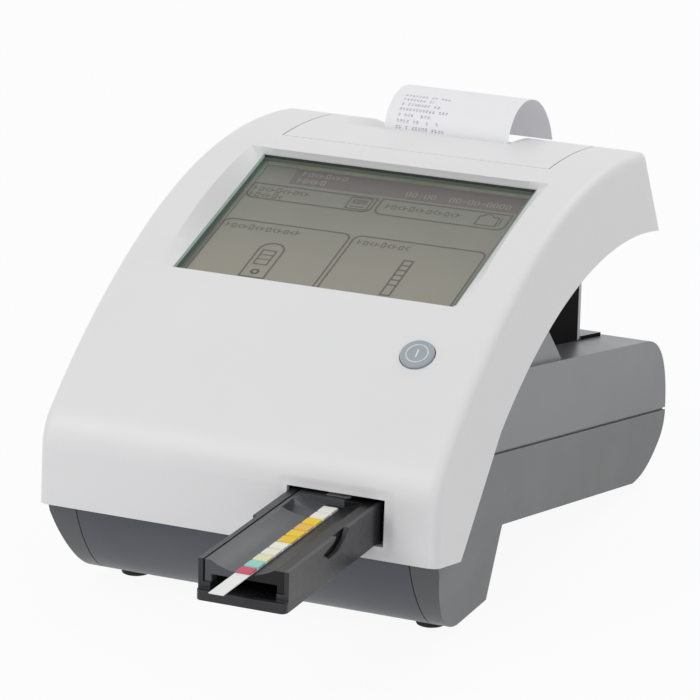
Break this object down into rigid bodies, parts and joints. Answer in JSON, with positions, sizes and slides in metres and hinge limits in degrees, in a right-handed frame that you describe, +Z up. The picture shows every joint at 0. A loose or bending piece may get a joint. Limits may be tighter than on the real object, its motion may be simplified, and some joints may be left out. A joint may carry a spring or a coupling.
{
  "type": "urine analyzer",
  "caption": "Desktop test strip reader with a white arched cover, tilted touch display, sliding test table and built-in thermal printer.",
  "frame": {"origin": "on the desk, under the middle of the outline from the tip of the strip on the open table to the back of the base", "axes": "+X to the operator's right, +Y from the front to the back, +Z up"},
  "size_m": [0.171, 0.379, 0.1686],
  "materials": {
    "cover_white": "fine matte moulded shell",
    "base_grey": "satin blue-grey moulded shell",
    "panel_grey": "satin light grey",
    "shroud_dark": "matt charcoal",
    "table_dark": "satin charcoal",
    "glass": "polished, green at the cut edge",
    "lcd": "olive-grey display under glass",
    "rubber_black": "matt",
    "button_grey": "satin",
    "frame_black": "matt",
    "steel": "brushed",
    "bright_steel": "polished",
    "gear_white": "natural acetal",
    "board_green": "solder mask",
    "chip_black": "moulded",
    "paper": "smooth thermal paper",
    "core_card": "wound card",
    "strip_white": "smooth strip",
    "pads": "printed absorbent pads",
    "cell": "wrapped cell",
    "lens": "polished"
  },
  "bodies": {
    "housing": {"top_cover": "cover_white", "base_upper": "base_grey", "base_lower": "base_grey", "pedestal_panel": "base_grey", "back_panel": "panel_grey", "cover_shroud": "shroud_dark", "battery_holder": "frame_black", "table_guide": "frame_black", "touch_glass": "glass", "glass_gasket": "rubber_black", "lcd_panel": "lcd", "lcd_frame": "frame_black", "button_switch": "chip_black", "feet": "rubber_black", "sole_plate": "rubber_black", "base_screws": "steel", "shroud_screws": "steel", "panel_screws": "steel", "power_inlet": "chip_black", "serial_port": "steel", "connector_board": "board_green", "main_board": "board_green", "board_parts": "chip_black", "battery_cells": "cell", "battery_contacts": "bright_steel", "drive_motor": "steel", "motor_bracket": "steel", "optics_housing": "frame_black", "optics_lens": "lens", "led_board": "board_green", "led_lamps": "lens", "paper_tub": "shroud_dark", "printer_frame": "steel", "printer_motor": "steel", "head_pin": "bright_steel", "head_spring": "bright_steel", "paper_web": "paper"},
    "lid": {"printer_lid": "cover_white", "lid_hinge_pins": "steel", "paper_curl": "paper"},
    "table": {"test_table": "table_dark", "table_rack": "gear_white"},
    "insert": {"table_insert": "table_dark", "calibration_bar": "strip_white", "test_strip": "strip_white", "reagent_pads": "pads"},
    "drive": {"drive_shaft": "bright_steel", "reduction_gear": "gear_white"},
    "motor_rotor": {"motor_gear": "steel"},
    "button": {"power_button": "button_grey"},
    "door": {"battery_door": "base_grey"},
    "platen": {"platen_axle": "bright_steel", "platen_roller": "rubber_black", "platen_gear": "gear_white"},
    "printer_rotor": {"printer_motor_gear": "gear_white"},
    "roll": {"paper_roll": "paper", "roll_core": "core_card"},
    "head": {"head_carrier": "frame_black", "print_head": "board_green"}
  },
  "joints": [
    {"name": "table_slide", "type": "slide", "parent": "housing", "child": "table", "axis": [0, 1, 0], "range_m": [0, 0.084]},
    {"name": "insert_slide", "type": "slide", "parent": "table", "child": "insert", "axis": [0, -1, 0], "range_m": [0, 0.1]},
    {"name": "drive_spin", "type": "hinge", "parent": "housing", "child": "drive", "pos_m": [0.0277, -0.0465, 0.0448], "axis": [1, 0, 0], "range_deg": [-810, 10]},
    {"name": "motor_spin", "type": "hinge", "parent": "housing", "child": "motor_rotor", "pos_m": [0.0163, -0.0585, 0.0448], "axis": [1, 0, 0], "range_deg": [-10, 2420]},
    {"name": "button_press", "type": "slide", "parent": "housing", "child": "button", "axis": [0, 0.5483, -0.8363], "range_m": [0, 0.001], "stiffness_N_per_m": 1500, "springref_m": -0.0004},
    {"name": "lid_open", "type": "hinge", "parent": "housing", "child": "lid", "pos_m": [0, 0.0955, 0.15413], "axis": [1, 0, 0], "range_deg": [0, 75]},
    {"name": "platen_spin", "type": "hinge", "parent": "housing", "child": "platen", "pos_m": [0, 0.123, 0.141], "axis": [1, 0, 0], "continuous": true},
    {"name": "printer_motor_spin", "type": "hinge", "parent": "housing", "child": "printer_rotor", "pos_m": [0.0349, 0.1162, 0.13783], "axis": [1, 0, 0], "continuous": true},
    {"name": "roll_spin", "type": "hinge", "parent": "housing", "child": "roll", "pos_m": [0, 0.104, 0.1215], "axis": [1, 0, 0], "continuous": true},
    {"name": "head_release", "type": "hinge", "parent": "housing", "child": "head", "pos_m": [0, 0.13215, 0.131], "axis": [-1, 0, 0], "range_deg": [0, 8], "stiffness_Nm_per_rad": 0.6, "springref_deg": -2.86},
    {"name": "door_unclip", "type": "slide", "parent": "housing", "child": "door", "axis": [0, -0.1959, -0.9806], "range_m": [0, 0.005]}
  ],
  "couplings": [
    {"joint": "drive_spin", "follows": "table_slide", "rad_per_m": -166.67},
    {"joint": "motor_spin", "follows": "table_slide", "rad_per_m": 500},
    {"joint": "platen_spin", "follows": "roll_spin", "ratio": 3.75},
    {"joint": "printer_motor_spin", "follows": "roll_spin", "ratio": -7.5}
  ]
}
